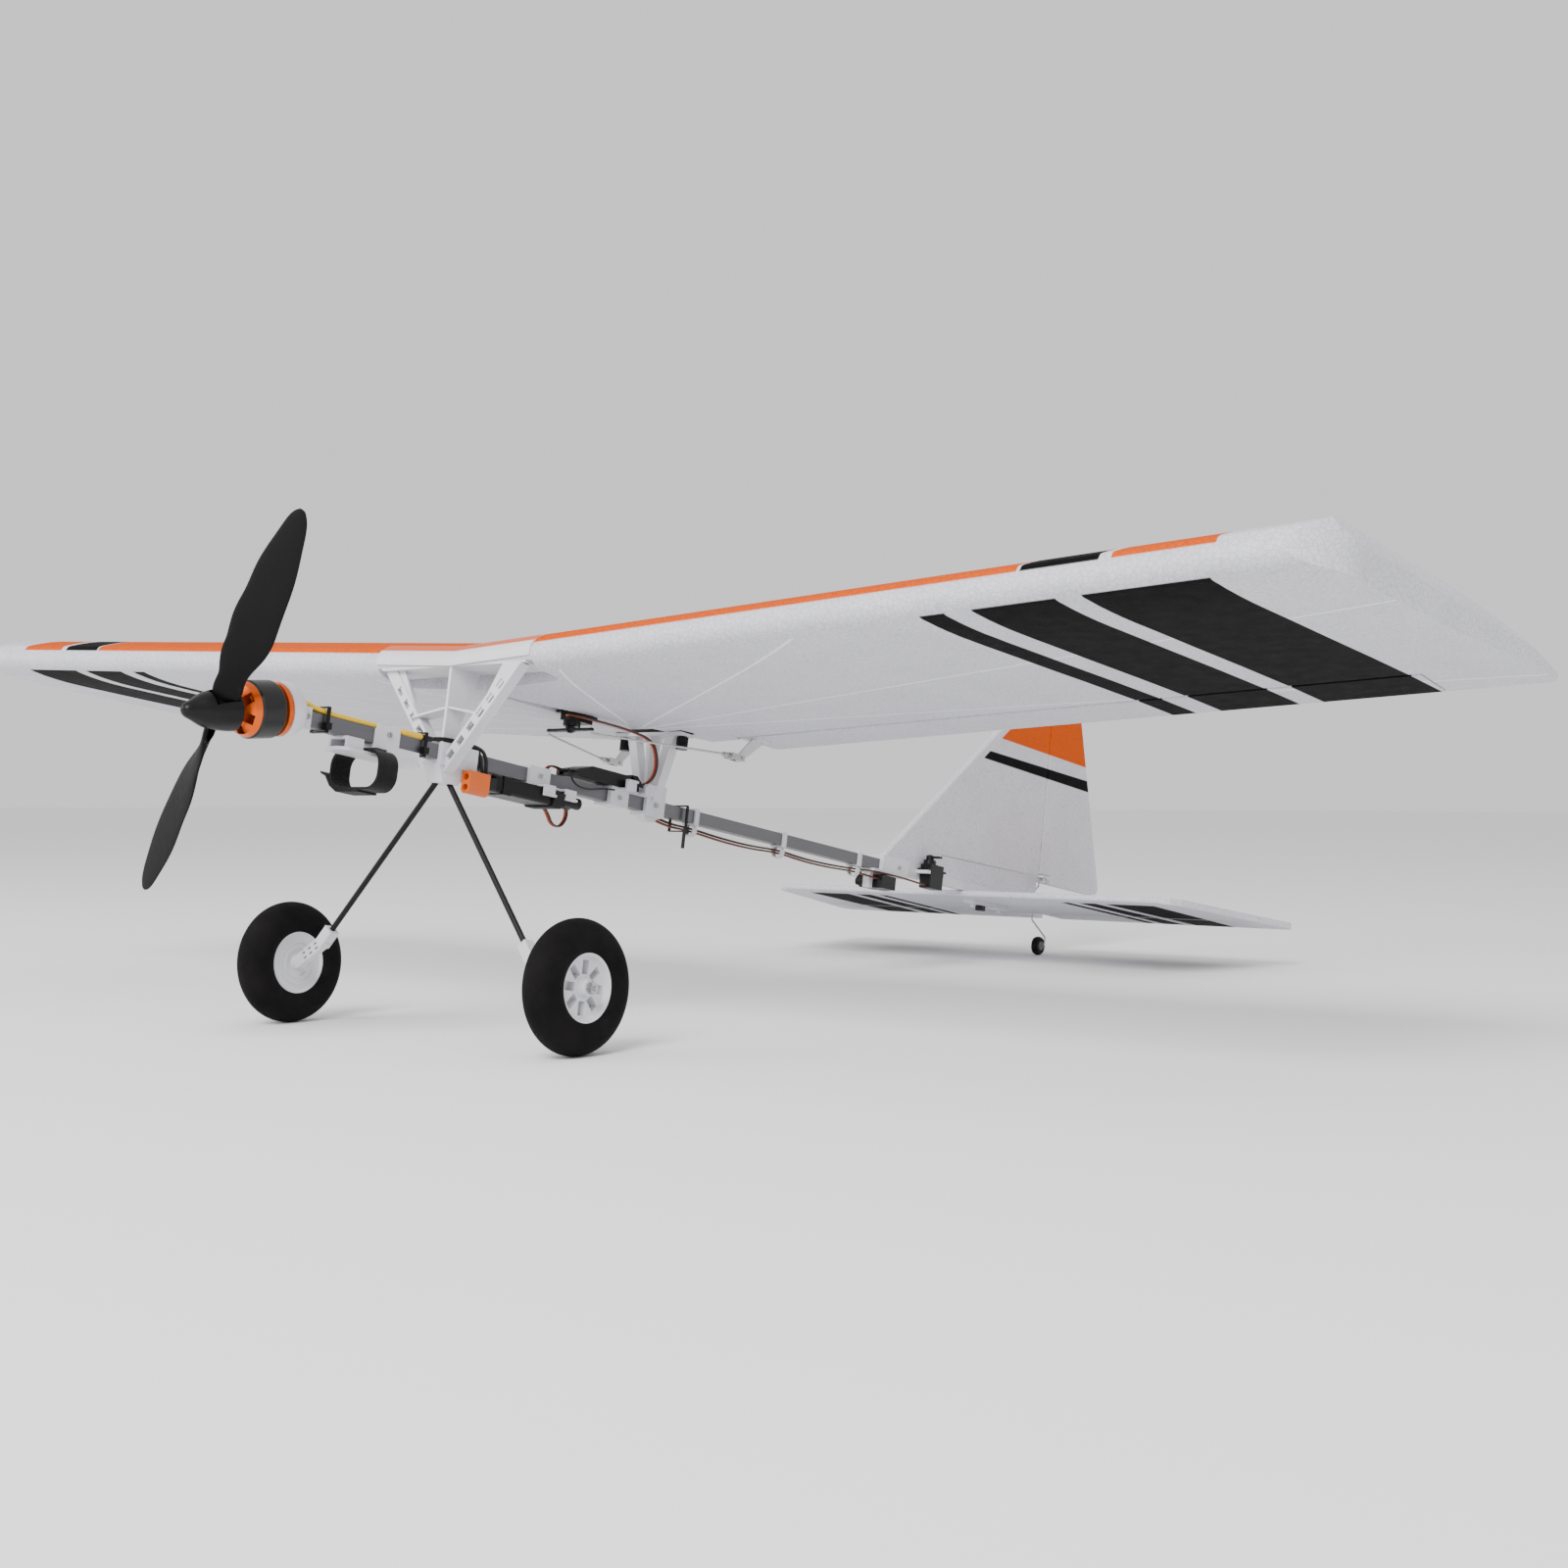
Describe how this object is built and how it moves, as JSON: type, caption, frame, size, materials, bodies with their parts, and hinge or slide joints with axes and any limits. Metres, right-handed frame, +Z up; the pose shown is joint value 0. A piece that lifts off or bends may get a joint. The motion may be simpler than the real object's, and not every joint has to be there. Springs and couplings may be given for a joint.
{
  "type": "stick fuselage model aircraft",
  "caption": "High-wing electric model aeroplane on a bare square stick, with a tractor propeller, crossed wire legs, a tail wheel and servo-driven ailerons, elevator and rudder.",
  "frame": {"origin": "bottom centre of the standing aircraft's box, on the ground between the wheels and the tail wheel", "axes": "+X forward, +Y to the aircraft's left along the span, +Z up; it stands on its three wheels, nose up by 9.4 degrees"},
  "size_m": [1.185, 1.2614, 0.3255],
  "materials": {
    "foam_white": "fine expanded-bead texture",
    "printed_foam": "expanded beads with orange and black markings",
    "white_nylon": "satin moulded",
    "clear_cap": "smooth moulded",
    "aluminium": "drawn, satin",
    "orange_metal": "anodised",
    "black_metal": "satin black",
    "steel": "drawn wire",
    "black_plastic": "satin moulded",
    "black_rubber": "matte",
    "tyre_rubber": "matte",
    "strap_fabric": "woven hook-and-loop",
    "yellow_sleeve": "heat-shrink",
    "orange_plastic": "moulded",
    "lead_brown": "three-colour ribbon",
    "receiver_case": "moulded case",
    "grey_plastic": "moulded"
  },
  "bodies": {
    "airframe": {"wing_port": "printed_foam", "wing_starboard": "printed_foam", "leading_cap": "clear_cap", "surface_hinges": "white_nylon", "stick": "aluminium", "motor_mount": "white_nylon", "motor_base": "orange_metal", "motor_wires": "yellow_sleeve", "cable_ties": "black_plastic", "battery_tray": "white_nylon", "battery_strap": "strap_fabric", "front_pylon": "white_nylon", "rear_pylon": "white_nylon", "rear_pylon_pad": "black_rubber", "pylon_knobs": "black_plastic", "gear_legs": "black_metal", "axle_brackets": "white_nylon", "axles": "steel", "esc": "black_plastic", "esc_leads": "black_rubber", "battery_connector": "orange_plastic", "clip_holders": "white_nylon", "holder_straps": "black_rubber", "receiver": "receiver_case", "receiver_leads": "lead_brown", "wire_rings": "white_nylon", "servo_leads": "lead_brown", "aileron_servo": "black_plastic", "tail_servos": "black_plastic", "tail_mount": "white_nylon", "stabiliser": "printed_foam", "fin": "printed_foam", "clip_screws": "steel"},
    "propeller_unit": {"motor_bell": "orange_metal", "flux_ring": "black_metal", "motor_shaft": "steel", "propeller": "black_plastic", "spinner": "black_plastic"},
    "wheel_port": {"wheel_hub_port": "white_nylon", "tyre_port": "tyre_rubber"},
    "wheel_starboard": {"wheel_hub_starboard": "white_nylon", "tyre_starboard": "tyre_rubber"},
    "aileron_port_flap": {"aileron_port": "printed_foam", "aileron_fittings_port": "white_nylon"},
    "aileron_starboard_flap": {"aileron_starboard": "printed_foam", "aileron_fittings_starboard": "white_nylon"},
    "aileron_arm": {"aileron_servo_arm": "black_plastic"},
    "aileron_pushrod_port": {"aileron_rod_port": "steel"},
    "aileron_pushrod_starboard": {"aileron_rod_starboard": "steel"},
    "elevator_flap": {"elevator": "foam_white", "elevator_fittings": "white_nylon"},
    "elevator_arm": {"elevator_servo_arm": "black_plastic"},
    "elevator_pushrod": {"elevator_rod": "steel"},
    "rudder_flap": {"rudder": "printed_foam", "rudder_fittings": "white_nylon", "tail_wheel_wire": "steel"},
    "rudder_arm": {"rudder_servo_arm": "black_plastic"},
    "rudder_pushrod": {"rudder_rod": "steel"},
    "tail_wheel_spin": {"tail_wheel": "grey_plastic"}
  },
  "joints": [
    {"name": "propeller_spin", "type": "hinge", "parent": "airframe", "child": "propeller_unit", "pos_m": [0.5665, 0, 0.21437], "axis": [0.9988, 0, -0.0487], "continuous": true},
    {"name": "wheel_port_spin", "type": "hinge", "parent": "airframe", "child": "wheel_port", "pos_m": [0.40212, 0.14, 0.0435], "axis": [0, 1, 0], "continuous": true},
    {"name": "wheel_starboard_spin", "type": "hinge", "parent": "airframe", "child": "wheel_starboard", "pos_m": [0.40212, -0.14, 0.0435], "axis": [0, 1, 0], "continuous": true},
    {"name": "aileron_servo_turn", "type": "hinge", "parent": "airframe", "child": "aileron_arm", "pos_m": [0.25477, 0, 0.22313], "axis": [-0.1634, 0, 0.9866], "range_deg": [-22, 22]},
    {"name": "aileron_port_hinge", "type": "hinge", "parent": "airframe", "child": "aileron_port_flap", "pos_m": [0.12409, 0, 0.21658], "axis": [-0.0091, 0.9984, 0.0551], "range_deg": [-15.45, 15.45]},
    {"name": "aileron_starboard_hinge", "type": "hinge", "parent": "airframe", "child": "aileron_starboard_flap", "pos_m": [0.12409, 0, 0.21658], "axis": [0.0091, 0.9984, -0.0551], "range_deg": [-15.45, 15.45]},
    {"name": "aileron_rod_port_pivot", "type": "hinge", "parent": "aileron_arm", "child": "aileron_pushrod_port", "pos_m": [0.25662, 0.021, 0.21199], "axis": [-0.1634, 0, 0.9866], "range_deg": [-22.05, 22.05]},
    {"name": "aileron_rod_starboard_pivot", "type": "hinge", "parent": "aileron_arm", "child": "aileron_pushrod_starboard", "pos_m": [0.25662, -0.021, 0.21199], "axis": [-0.1634, 0, 0.9866], "range_deg": [-22.05, 22.05]},
    {"name": "elevator_servo_turn", "type": "hinge", "parent": "airframe", "child": "elevator_arm", "pos_m": [-0.14792, -0.0045, 0.08719], "axis": [0, 1, 0], "range_deg": [-22, 22]},
    {"name": "elevator_hinge", "type": "hinge", "parent": "airframe", "child": "elevator_flap", "pos_m": [-0.43327, 0, 0.05055], "axis": [0, 1, 0], "range_deg": [-18.75, 18.75]},
    {"name": "elevator_rod_pivot", "type": "hinge", "parent": "elevator_arm", "child": "elevator_pushrod", "pos_m": [-0.15021, -0.0158, 0.101], "axis": [0, 1, 0], "range_deg": [-22.05, 22.05]},
    {"name": "rudder_servo_turn", "type": "hinge", "parent": "airframe", "child": "rudder_arm", "pos_m": [-0.22748, 0.0105, 0.09631], "axis": [-0.1634, 0, 0.9866], "range_deg": [-28, 28]},
    {"name": "rudder_hinge", "type": "hinge", "parent": "airframe", "child": "rudder_flap", "pos_m": [-0.46729, 0, 0.15186], "axis": [-0.1634, 0, 0.9866], "range_deg": [-22.45, 22.45]},
    {"name": "rudder_rod_pivot", "type": "hinge", "parent": "rudder_arm", "child": "rudder_pushrod", "pos_m": [-0.22933, 0.0215, 0.10745], "axis": [-0.1634, 0, 0.9866], "range_deg": [-28.05, 28.05]},
    {"name": "tail_wheel_turn", "type": "hinge", "parent": "rudder_flap", "child": "tail_wheel_spin", "pos_m": [-0.46195, 0, 0.0095], "axis": [0, 1, 0], "continuous": true}
  ],
  "couplings": [
    {"joint": "aileron_port_hinge", "follows": "aileron_servo_turn", "ratio": 0.7},
    {"joint": "aileron_starboard_hinge", "follows": "aileron_servo_turn", "ratio": -0.7},
    {"joint": "aileron_rod_port_pivot", "follows": "aileron_servo_turn", "ratio": -1},
    {"joint": "aileron_rod_starboard_pivot", "follows": "aileron_servo_turn", "ratio": -1},
    {"joint": "elevator_hinge", "follows": "elevator_servo_turn", "ratio": 0.85},
    {"joint": "elevator_rod_pivot", "follows": "elevator_servo_turn", "ratio": -1},
    {"joint": "rudder_hinge", "follows": "rudder_servo_turn", "ratio": 0.8},
    {"joint": "rudder_rod_pivot", "follows": "rudder_servo_turn", "ratio": -1}
  ]
}
